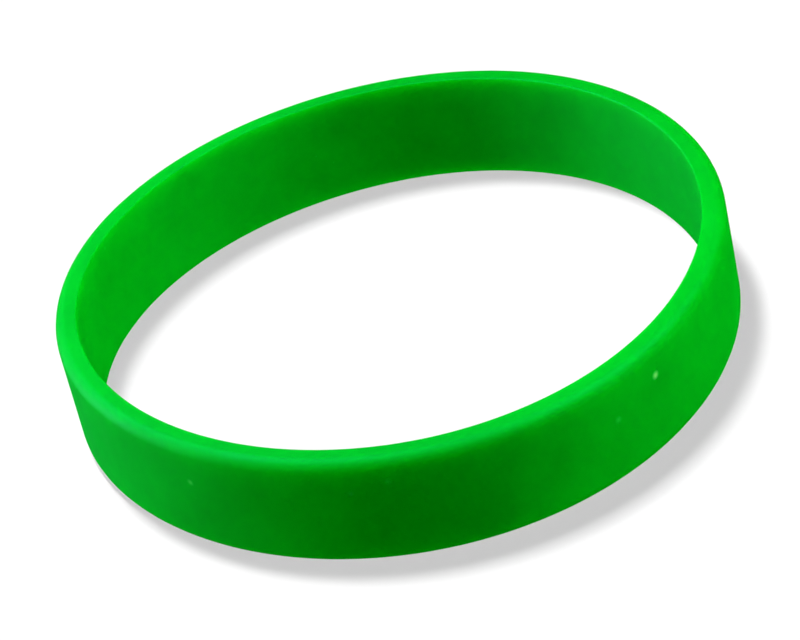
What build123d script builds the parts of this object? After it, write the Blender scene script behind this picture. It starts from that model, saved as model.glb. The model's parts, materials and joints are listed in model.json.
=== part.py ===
from build123d import *
import math
import os

# A silicone wristband: one moulded ring of silicone rubber, standing on its lower rim.
# Millimetres, +Z up along the wrist. The origin is the middle of the footprint, on the surface
# that the band stands on, and the ring is a little longer along Y than along X.

# Sizes of the strip
inner_circumference = 202.0  # once round the inside of the wall
band_width = 12.0            # from the lower rim to the upper rim
wall = 2.4                   # thickness of the strip
outer_edge_radius = 1.15     # rounding of the two rims on the outside
inner_edge_radius = 0.2      # rounding of the two rims against the skin

# The slack ring stands slightly out of round. Each wave lifts its crests by a share of the mean
# radius, and its first crest lies at an angle in degrees, counterclockwise from +X.
out_of_round = [
    {"crests": 2, "share": 0.005, "first_crest": 90.0},   # oval
    {"crests": 3, "share": 0.0091, "first_crest": 44.0},  # egg
]
outline_points = 48          # places where the smooth outline of the plan is worked out

mean_radius = inner_circumference / (2 * math.pi) + wall / 2
largest_outer_radius = 0.55 * min(wall, band_width)
largest_inner_radius = 0.35 * min(wall, band_width)


def middle_line(angle):
    # Radius of the line along the middle of the wall, and how fast it grows with the angle:
    # the mean radius times one plus the waves.
    radius = mean_radius
    growth = 0.0
    for wave in out_of_round:
        phase = wave["crests"] * (angle - math.radians(wave["first_crest"]))
        height = mean_radius * wave["share"]
        radius += height * math.cos(phase)
        growth -= height * wave["crests"] * math.sin(phase)
    return radius, growth


def plan_outline(outward):
    # Closed smooth line beside the middle line, moved along its normal by the same distance
    # all the way round.
    points = []
    for step in range(outline_points):
        angle = 2 * math.pi * step / outline_points
        radius, growth = middle_line(angle)
        along = Vector(math.cos(angle), math.sin(angle))
        across = Vector(-math.sin(angle), math.cos(angle))
        normal = (along * radius - across * growth).normalized()
        points.append(along * radius + normal * outward)
    return Spline(points, periodic=True)


def make_band():
    # The plan of the wall is drawn up to the band's width, then each pair of rims is rounded.
    wall_plan = make_face(plan_outline(wall / 2)) - make_face(plan_outline(-wall / 2))
    strip = extrude(wall_plan, amount=band_width)
    inner_rims = strip.edges().filter_by(GeomType.BSPLINE).sort_by(SortBy.LENGTH)[:2]
    strip = fillet(inner_rims, min(inner_edge_radius, largest_inner_radius))
    outer_rims = strip.edges().filter_by(GeomType.BSPLINE).sort_by(SortBy.LENGTH)[-2:]
    strip = fillet(outer_rims, min(outer_edge_radius, largest_outer_radius))
    footprint = strip.bounding_box().center()
    return Pos(-footprint.X, -footprint.Y, 0) * strip


band = make_band()

os.makedirs("parts", exist_ok=True)
export_step(band, "parts/band.step")
box = band.bounding_box().size
print(f"band {box.X:.2f} x {box.Y:.2f} x {box.Z:.2f} mm, volume {band.volume:.1f} mm3")
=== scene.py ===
import json
import math
import bpy
import numpy as np
from mathutils import Matrix, Vector


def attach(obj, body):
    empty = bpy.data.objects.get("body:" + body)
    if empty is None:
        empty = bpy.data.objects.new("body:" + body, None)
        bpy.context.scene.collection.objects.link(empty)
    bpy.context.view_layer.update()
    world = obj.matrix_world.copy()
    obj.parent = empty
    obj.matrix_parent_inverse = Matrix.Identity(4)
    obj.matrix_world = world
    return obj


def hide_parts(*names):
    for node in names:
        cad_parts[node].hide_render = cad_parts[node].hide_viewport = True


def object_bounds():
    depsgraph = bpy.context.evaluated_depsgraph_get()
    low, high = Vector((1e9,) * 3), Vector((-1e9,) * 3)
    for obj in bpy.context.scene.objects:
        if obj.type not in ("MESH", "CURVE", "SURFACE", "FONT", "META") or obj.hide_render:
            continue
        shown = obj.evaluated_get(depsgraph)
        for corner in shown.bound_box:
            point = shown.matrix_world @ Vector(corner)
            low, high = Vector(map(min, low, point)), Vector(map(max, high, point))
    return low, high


# A green silicone wristband standing on its lower rim, in metres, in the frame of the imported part.

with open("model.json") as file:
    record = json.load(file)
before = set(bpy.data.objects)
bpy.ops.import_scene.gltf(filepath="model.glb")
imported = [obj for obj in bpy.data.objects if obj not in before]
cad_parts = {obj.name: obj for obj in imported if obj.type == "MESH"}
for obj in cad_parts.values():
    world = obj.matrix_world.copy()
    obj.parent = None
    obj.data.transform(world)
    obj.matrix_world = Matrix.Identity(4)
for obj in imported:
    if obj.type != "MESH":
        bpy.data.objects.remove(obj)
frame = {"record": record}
cadLow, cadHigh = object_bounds()
wristMount = next(m for m in frame["record"]["mounts"] if m["name"] == "wrist_opening")
mm = 0.001
print("frame loaded, band box in mm:", [round(x / mm, 2) for x in cadHigh - cadLow])


# the band

bandShape = {
    "innerRadius": wristMount["dims"]["r_mm"] * mm,  # of a circle as long as the inside of the band
    "wall": 2.4 * mm,
    "outerEdge": 1.15 * mm,      # rounding of the rims outside
    "innerEdge": 0.2 * mm,       # rounding of the rims against the skin
    "outOfRound": [              # waves on the plan: share of the mean radius, first crest in degrees
        {"crests": 2, "share": 0.005, "firstCrest": 90.0},
        {"crests": 3, "share": 0.0091, "firstCrest": 44.0},
    ],
    "stations": 720,             # round the ring
    "edgeSteps": 9,              # points round each edge
    "wallSteps": 24,             # up each side
    "rimSteps": 8,               # across each rim
}


def bandPlan(shape, turn, outward):
    # Point of the plan at an angle round the ring: the mean radius times one plus the waves, moved
    # outward along the normal.
    mean = shape["innerRadius"] + shape["wall"] / 2
    radius = np.full_like(turn, mean)
    growth = np.zeros_like(turn)
    for wave in shape["outOfRound"]:
        phase = wave["crests"] * (turn - math.radians(wave["firstCrest"]))
        radius += mean * wave["share"] * np.cos(phase)
        growth -= mean * wave["share"] * wave["crests"] * np.sin(phase)
    along = np.stack([np.cos(turn), np.sin(turn)], -1)
    across = np.stack([-np.sin(turn), np.cos(turn)], -1)
    normal = along * radius[..., None] - across * growth[..., None]
    normal /= np.linalg.norm(normal, axis=-1, keepdims=True)
    return along * radius[..., None] + normal * outward[..., None]


def planShift(shape):
    # What moves the plan so that the middle of the footprint is the origin: minus the point halfway
    # between the outer outline's lowest and highest X and Y.
    turn = np.linspace(0, 2 * math.pi, shape["stations"], endpoint=False)
    outside = bandPlan(shape, turn, np.full_like(turn, shape["wall"] / 2))
    return -(outside.min(0) + outside.max(0)) / 2


def bandSection(shape, width):
    # Closed section of the strip, as (distance outward from the wall's middle, height): four quarter
    # circles joined by four straight runs, counterclockwise from the outer edge of the lower rim.
    half = shape["wall"] / 2
    outer, inner = shape["outerEdge"], shape["innerEdge"]
    quarter = np.linspace(0, math.pi / 2, shape["edgeSteps"])
    corners = [  # centre outward, centre height, radius, angle where the quarter starts
        (half - outer, outer, outer, -math.pi / 2),
        (half - outer, width - outer, outer, 0.0),
        (-half + inner, width - inner, inner, math.pi / 2),
        (-half + inner, inner, inner, math.pi),
    ]
    arcs = [np.stack([x + radius * np.cos(start + quarter), z + radius * np.sin(start + quarter)], -1)
            for x, z, radius, start in corners]
    pieces = []
    for arc, following, steps in zip(arcs, arcs[1:] + arcs[:1], ["wallSteps", "rimSteps"] * 2):
        share = np.linspace(0, 1, shape[steps] + 1)[1:-1, None]
        pieces += [arc, arc[-1] * (1 - share) + following[0] * share]
    return np.concatenate(pieces)


def gridMesh(name, points):
    # Mesh of a grid of points, (rows, columns, 3), that closes on itself both ways: a face joins each
    # point to the next one along its row, the next one along its column and the one past both.
    rows, columns = points.shape[:2]
    row, column = np.meshgrid(np.arange(rows), np.arange(columns), indexing="ij")
    nextRow, nextColumn = (row + 1) % rows, (column + 1) % columns
    faces = np.stack([row * columns + column, nextRow * columns + column,
                      nextRow * columns + nextColumn, row * columns + nextColumn], -1).reshape(-1, 4)
    mesh = bpy.data.meshes.new(name)
    mesh.from_pydata(points.reshape(-1, 3).tolist(), [], faces.tolist())
    mesh.polygons.foreach_set("use_smooth", np.ones(len(faces), bool))
    mesh.update()
    return mesh


def makeBand(shape):
    # The section carried round the plan: turn goes round the ring, the section's points round the strip.
    section = bandSection(shape, cadHigh.z - cadLow.z)
    turn = np.linspace(0, 2 * math.pi, shape["stations"], endpoint=False)
    turns, outward = np.meshgrid(turn, section[:, 0], indexing="ij")
    plan = bandPlan(shape, turns, outward) + planShift(shape)
    height = np.broadcast_to(section[:, 1], turns.shape)
    return gridMesh("wristband", np.concatenate([plan, height[..., None]], -1))


# node helpers

def addNode(tree, kind, inputs=None, **settings):
    # inputs maps a socket's name or number to a value or to another node's output
    node = tree.nodes.new(kind)
    for name, value in settings.items():
        setattr(node, name, value)
    for key, value in (inputs or {}).items():
        if isinstance(value, bpy.types.NodeSocket):
            tree.links.new(value, node.inputs[key])
        else:
            node.inputs[key].default_value = value
    return node


def addNoise(tree, place, size, detail, roughness=0.5, swirl=0.0):
    # Noise with clouds about as wide as size, because its scale is one over the size.
    noise = addNode(tree, "ShaderNodeTexNoise", {
        "Vector": place, "Scale": 1 / size, "Detail": detail, "Roughness": roughness, "Distortion": swirl})
    return noise.outputs["Fac"]


def addRange(tree, value, span, result=(0.0, 1.0)):
    # Straight line that takes one span of values to another, and stays level past both ends.
    line = addNode(tree, "ShaderNodeMapRange", {
        "Value": value, "From Min": span[0], "From Max": span[1], "To Min": result[0], "To Max": result[1]})
    return line.outputs["Result"]


def addMath(tree, operation, first, second=0.0):
    # The named operation on two values, or on the first alone where it takes only one.
    return addNode(tree, "ShaderNodeMath", {0: first, 1: second}, operation=operation).outputs[0]


def addMix(tree, share, first, second):
    # First colour times one minus the share, plus the second times the share.
    return addNode(tree, "ShaderNodeMix", {0: share, 6: first, 7: second}, data_type="RGBA").outputs[2]


def newMaterial(name):
    # A material with no nodes yet, and its node tree.
    material = bpy.data.materials.new(name)
    material.use_nodes = True
    material.node_tree.nodes.clear()
    return material, material.node_tree


# silicone, coloured through

siliconeLook = {
    "green": (0.0, 0.483, 0.0034, 1.0),
    "deepGreen": (0.0, 0.415, 0.0018, 1.0),  # in the faint clouds of the pigment
    "cloudSize": 9.0 * mm,
    "cloudDetail": 6.0,
    "cloudRoughness": 0.68,
    "cloudRange": (0.36, 0.64),              # of the noise, from clear green to deep green
    "roughness": 0.6,
    "handled": 0.04,                         # how much handling changes the roughness, up or down
    "handledSize": 14.0 * mm,                # of the patches that it leaves
    "handledDetail": 3.0,
    "handledSwirl": 0.6,
    "handledRange": (0.35, 0.65),            # of the noise, from smoothest to roughest
    "ior": 1.41,
    "specular": 1.0,
    "specularTint": (0.0, 1.0, 0.45, 1.0),
    "bleed": 7.5 * mm,                       # how far light travels inside the rubber
    "bleedColours": (0.15, 1.0, 0.15),
    "grainSize": 0.18 * mm,
    "grainDetail": 3.0,
    "grainRoughness": 0.6,
    "grainDepth": 0.013 * mm,
    "waveSize": 7.0 * mm,                    # slight unevenness left by the mould
    "waveDetail": 1.0,
    "waveDepth": 0.03 * mm,
    "thinDust": (0.03, 1.0, 0.15, 1.0),      # where the green shows through the dust
    "thickDust": (0.35, 0.95, 0.20, 1.0),
    "dustSpacing": 4.0 * mm,                 # between the specks of fine dust
    "dustSize": 0.09 * mm,
    "dustStrength": 0.25,
    "dustCore": 0.5,                         # share of a fine speck's size that has its whole strength
    "fleckCore": 0.2,                        # the same of a fleck's size
}


# Dust caught on the rubber: turn is the angle round the ring in degrees, outward is 1 on the outer
# face and -1 on the inner one, height and size are in mm.
flecks = [
    {"turn": 309.1, "outward": 1.0, "height": 8.74, "size": 0.56, "strength": 0.8},
    {"turn": 226.65, "outward": 1.0, "height": 7.74, "size": 0.48, "strength": 0.34},
    {"turn": 299.9, "outward": 1.0, "height": 7.04, "size": 0.5, "strength": 0.14},
    {"turn": 255.6, "outward": 1.0, "height": 8.42, "size": 0.4, "strength": 0.1},
    {"turn": 261.75, "outward": 1.0, "height": 9.4, "size": 0.4, "strength": 0.1},
    {"turn": 152.45, "outward": -1.0, "height": 10.98, "size": 0.25, "strength": 0.15},
    {"turn": 71.0, "outward": 1.0, "height": 4.6, "size": 0.34, "strength": 0.4},
    {"turn": 118.0, "outward": 1.0, "height": 8.9, "size": 0.26, "strength": 0.2},
    {"turn": 12.0, "outward": 1.0, "height": 6.2, "size": 0.3, "strength": 0.25},
    {"turn": 171.0, "outward": 1.0, "height": 3.7, "size": 0.28, "strength": 0.3},
    {"turn": 283.0, "outward": -1.0, "height": 5.5, "size": 0.3, "strength": 0.3},
    {"turn": 334.0, "outward": -1.0, "height": 8.1, "size": 0.26, "strength": 0.2},
]


def fleckMask(tree, place, look, flecks, shape):
    # Greatest over the flecks of strength times how far a point is inside a soft ball round the
    # fleck's place.
    shift = planShift(shape)
    mask = 0.0
    for fleck in flecks:
        turn = np.array([math.radians(fleck["turn"])])
        outward = np.array([fleck["outward"] * shape["wall"] / 2])
        x, y = bandPlan(shape, turn, outward)[0] + shift
        away = addNode(tree, "ShaderNodeVectorMath", {0: place, 1: (x, y, fleck["height"] * mm)},
                       operation="DISTANCE").outputs["Value"]
        size = fleck["size"] * mm
        spot = addRange(tree, away, (look["fleckCore"] * size, size), (fleck["strength"], 0.0))
        mask = addMath(tree, "MAXIMUM", mask, spot)
    return mask


def fineDust(tree, place, look):
    # Faint specks where a cell's point happens to lie on the surface: full strength near the point,
    # falling to nothing at the speck's size.
    cells = addNode(tree, "ShaderNodeTexVoronoi", {"Vector": place, "Scale": 1 / look["dustSpacing"]})
    size = look["dustSize"] / look["dustSpacing"]
    return addRange(tree, cells.outputs["Distance"], (look["dustCore"] * size, size),
                    (look["dustStrength"], 0.0))


def siliconeMaterial(look, flecks, shape):
    # Green mixed with deep green by the clouds, then with the dust's colour by the dust. Light travels
    # inside where there is no dust. Roughness is its middle value plus or minus what handling did.
    material, tree = newMaterial("greenSilicone")
    place = addNode(tree, "ShaderNodeTexCoord").outputs["Object"]
    clouds = addNoise(tree, place, look["cloudSize"], look["cloudDetail"], look["cloudRoughness"])
    deep = addRange(tree, clouds, look["cloudRange"])
    rubber = addMix(tree, deep, look["green"], look["deepGreen"])
    specks = fineDust(tree, place, look)
    dust = addMath(tree, "MAXIMUM", fleckMask(tree, place, look, flecks, shape), specks)
    dustColour = addMix(tree, dust, look["thinDust"], look["thickDust"])
    patches = addNoise(tree, place, look["handledSize"], look["handledDetail"], swirl=look["handledSwirl"])
    smoothest, roughest = look["roughness"] - look["handled"], look["roughness"] + look["handled"]
    waves = addNoise(tree, place, look["waveSize"], look["waveDetail"])
    grain = addNoise(tree, place, look["grainSize"], look["grainDetail"], look["grainRoughness"])
    uneven = addNode(tree, "ShaderNodeBump", {"Height": waves, "Distance": look["waveDepth"]})
    bump = addNode(tree, "ShaderNodeBump", {
        "Height": grain, "Distance": look["grainDepth"], "Normal": uneven.outputs["Normal"]})
    shader = addNode(tree, "ShaderNodeBsdfPrincipled", {
        "Base Color": addMix(tree, dust, rubber, dustColour),
        "Roughness": addRange(tree, patches, look["handledRange"], (smoothest, roughest)),
        "IOR": look["ior"],
        "Normal": bump.outputs["Normal"],
        "Subsurface Weight": addMath(tree, "SUBTRACT", 1.0, dust),
        "Subsurface Radius": look["bleedColours"],
        "Subsurface Scale": look["bleed"],
        "Specular IOR Level": look["specular"],
        "Specular Tint": look["specularTint"],
    })
    addNode(tree, "ShaderNodeOutputMaterial", {"Surface": shader.outputs[0]})
    return material


# floor and backdrop

stageLook = {
    "size": 3.0,
    "white": (0.85, 0.85, 0.85, 1.0),
    "bounce": (0.20, 0.20, 0.20, 1.0),       # what the floor gives back to the band
    "footBounce": (0.60, 0.60, 0.60, 1.0),   # the same right beside the band's foot
    "footRadius": 33.4 * mm,
    "footReach": 2.2 * mm,
    "footCore": 0.3,                         # share of that reach that gives back the whole of it
    "clearRadius": 120.0 * mm,               # from here outward the floor fades into the white behind it
    "fadedRadius": 300.0 * mm,
    "backdrop": (1.0, 1.0, 1.0, 1.0),
    "seen": 1.0,                             # strength of the backdrop to the camera
    "ambient": 0.0,                          # and to everything else
}


def floorMaterial(look):
    # White to the camera, fading into the backdrop between the two radii. To the light that it throws
    # back it is greyer, and less so near the foot's radius.
    material, tree = newMaterial("paleSweep")
    toCamera = addNode(tree, "ShaderNodeLightPath").outputs["Is Camera Ray"]
    place = addNode(tree, "ShaderNodeTexCoord").outputs["Object"]
    radius = addNode(tree, "ShaderNodeVectorMath", {0: place}, operation="LENGTH").outputs["Value"]
    fromFoot = addMath(tree, "ABSOLUTE", addMath(tree, "SUBTRACT", radius, look["footRadius"]))
    foot = addRange(tree, fromFoot, (look["footCore"] * look["footReach"], look["footReach"]), (1.0, 0.0))
    bounce = addMix(tree, foot, look["bounce"], look["footBounce"])
    far = addRange(tree, radius, (look["clearRadius"], look["fadedRadius"]))
    near = addNode(tree, "ShaderNodeBsdfDiffuse", {"Color": look["white"]})
    faded = addNode(tree, "ShaderNodeEmission", {"Color": look["backdrop"]})
    seen = addNode(tree, "ShaderNodeMixShader", {0: far, 1: near.outputs[0], 2: faded.outputs[0]})
    thrown = addNode(tree, "ShaderNodeBsdfDiffuse", {"Color": bounce})
    mix = addNode(tree, "ShaderNodeMixShader", {0: toCamera, 1: thrown.outputs[0], 2: seen.outputs[0]})
    addNode(tree, "ShaderNodeOutputMaterial", {"Surface": mix.outputs[0]})
    return material


def makeFloor(look):
    # A square of the given size, centred on the origin.
    half = look["size"] / 2
    corners = [(-half, -half, 0), (half, -half, 0), (half, half, 0), (-half, half, 0)]
    mesh = bpy.data.meshes.new("floor")
    mesh.from_pydata(corners, [], [(0, 1, 2, 3)])
    mesh.materials.append(floorMaterial(look))
    floor = bpy.data.objects.new("floor", mesh)
    bpy.context.scene.collection.objects.link(floor)
    floor.visible_glossy = False             # the band doesn't mirror it


def makeBackdrop(look):
    # One colour all round, with one strength to the camera and another to everything else.
    world = bpy.data.worlds.new("studio")
    bpy.context.scene.world = world
    world.use_nodes = True
    tree = world.node_tree
    tree.nodes.clear()
    toCamera = addNode(tree, "ShaderNodeLightPath").outputs["Is Camera Ray"]
    strength = addRange(tree, toCamera, (0.0, 1.0), (look["ambient"], look["seen"]))
    background = addNode(tree, "ShaderNodeBackground", {"Color": look["backdrop"], "Strength": strength})
    addNode(tree, "ShaderNodeOutputWorld", {"Surface": background.outputs[0]})


# light and camera

# Azimuth counterclockwise from +X and elevation in degrees, distance and sides in metres. Light and
# gloss are the irradiance over pi that a box gives a surface facing it at the band: light to what is
# scattered inside and below the surface, gloss to what the surface reflects, which has the box's tint.
softboxes = {
    "overheadBox": {"azimuth": 115.0, "elevation": 72.5, "distance": 3.0, "sides": (0.38, 0.68),
                    "light": 0.6, "gloss": 0.0, "tint": (1.0, 1.0, 1.0), "shadow": True},
    "lowLeftBox": {"azimuth": 158.0, "elevation": 5.0, "distance": 0.6, "sides": (0.3, 0.3),
                   "light": 0.52, "gloss": 0.33, "tint": (0.45, 1.0, 1.6), "shadow": False},
    "leftBox": {"azimuth": 185.0, "elevation": 35.0, "distance": 0.6, "sides": (0.3, 0.3),
                "light": 0.465, "gloss": 0.0, "tint": (1.0, 1.0, 1.0), "shadow": False},
    "lowRightBox": {"azimuth": 350.0, "elevation": 5.0, "distance": 0.6, "sides": (0.3, 0.3),
                    "light": 0.625, "gloss": 0.1, "tint": (0.35, 1.0, 1.15), "shadow": False},
    "rightBox": {"azimuth": 350.0, "elevation": 60.0, "distance": 0.6, "sides": (0.3, 0.3),
                 "light": 0.38, "gloss": 0.74, "tint": (0.5, 1.0, 0.85), "shadow": False},
    "backBox": {"azimuth": 150.0, "elevation": 55.0, "distance": 0.6, "sides": (0.3, 0.3),
                "light": 0.0, "gloss": 0.69, "tint": (0.25, 1.0, 1.2), "shadow": False},
}
white = (1.0, 1.0, 1.0)


def addSoftbox(name, box, target):
    # Up to two lamps in one place, one for the light and one for the gloss. A lamp's power is its
    # irradiance over pi, times pi squared, times the distance squared.
    azimuth, elevation = math.radians(box["azimuth"]), math.radians(box["elevation"])
    level = Vector((math.cos(azimuth), math.sin(azimuth), 0))
    back = level * math.cos(elevation) + Vector((0, 0, math.sin(elevation)))
    for part, colour in (("light", white), ("gloss", box["tint"])):
        if not box[part]:
            continue
        data = bpy.data.lights.new(name + part.title(), "AREA")
        data.shape = "RECTANGLE"
        data.size, data.size_y = box["sides"]
        data.energy = box[part] * math.pi ** 2 * box["distance"] ** 2
        data.color = colour
        data.use_shadow = box["shadow"]
        lamp = bpy.data.objects.new(name + part.title(), data)
        bpy.context.scene.collection.objects.link(lamp)
        lamp.visible_diffuse = part == "light"
        lamp.visible_glossy = part == "gloss"
        lamp.location = target + back * box["distance"]
        lamp.rotation_mode = "QUATERNION"
        lamp.rotation_quaternion = (-back).to_track_quat("-Z", "Y")


cameraSetup = {
    "elevation": 33.84,          # degrees above the floor
    "roll": -13.41,              # degrees, the photograph's own tilt
    "distance": 355.4 * mm,
    "aim": (-0.26 * mm, -3.35 * mm, 6.0 * mm),
    "lens": 158.8,               # focal length in mm, behind a sensor of the width below
    "sensor": 36.0,
    "clip": (0.01, 20.0),        # nearest and furthest that it sees
}


def addCamera(setup):
    # It stands back from its aim by the distance, towards -Y and up by the elevation. Its right is the
    # level direction times the roll's cosine plus the upright one times its sine, and up is square to it.
    elevation, roll = math.radians(setup["elevation"]), math.radians(setup["roll"])
    back = Vector((0, -math.cos(elevation), math.sin(elevation)))
    level = Vector((1, 0, 0))
    upright = Vector((0, math.sin(elevation), math.cos(elevation)))
    right = level * math.cos(roll) + upright * math.sin(roll)
    up = upright * math.cos(roll) - level * math.sin(roll)
    data = bpy.data.cameras.new("camera")
    data.lens = setup["lens"]
    data.sensor_width = setup["sensor"]
    data.clip_start, data.clip_end = setup["clip"]
    camera = bpy.data.objects.new("camera", data)
    bpy.context.scene.collection.objects.link(camera)
    place = Matrix.Translation(Vector(setup["aim"]) + back * setup["distance"])
    camera.matrix_world = place @ Matrix((right, up, back)).transposed().to_4x4()
    bpy.context.scene.camera = camera


# putting it together

band = bpy.data.objects.new("wristband", makeBand(bandShape))
bpy.context.scene.collection.objects.link(band)
band.data.materials.append(siliconeMaterial(siliconeLook, flecks, bandShape))
band.visible_diffuse = False                 # it throws no green onto the floor
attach(band, "root")
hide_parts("band")
print("band made,", len(band.data.vertices), "points")

makeFloor(stageLook)
makeBackdrop(stageLook)
middle = Vector((0, 0, cadHigh.z / 2))       # of the band, where the lamps point
for name, box in softboxes.items():
    addSoftbox(name, box, middle)
addCamera(cameraSetup)
bpy.context.scene.view_settings.view_transform = "Standard"
print("stage, lights and camera set")
